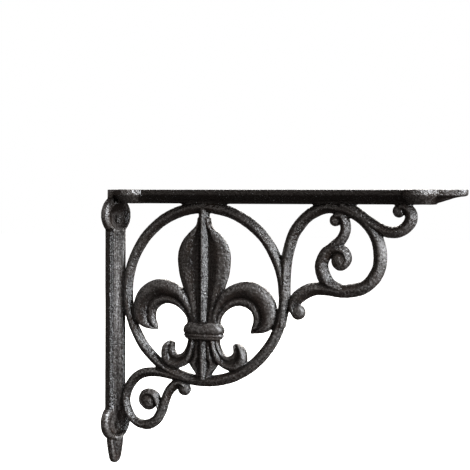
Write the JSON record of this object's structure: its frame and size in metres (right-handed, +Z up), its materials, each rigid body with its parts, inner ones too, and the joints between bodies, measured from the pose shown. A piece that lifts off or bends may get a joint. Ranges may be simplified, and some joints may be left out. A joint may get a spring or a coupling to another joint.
{
  "type": "ornate shelf bracket",
  "caption": "Cast iron L-shaped shelf bracket with a fleur-de-lis in a ring, S-scrolls and volutes, a wall plate and a shelf arm with eared, tapered ends.",
  "frame": {"origin": "back face of the wall plate, midway between its two screws", "axes": "+X out of the wall along the arm, +Y across the bracket, +Z up"},
  "size_m": [0.254, 0.035, 0.191],
  "materials": {
    "cast_iron": "rough sand-cast iron with a worn dark brown-black paint, satin sheen on the raised edges"
  },
  "bodies": {
    "root": {"cast_bracket": "cast_iron"}
  },
  "joints": []
}
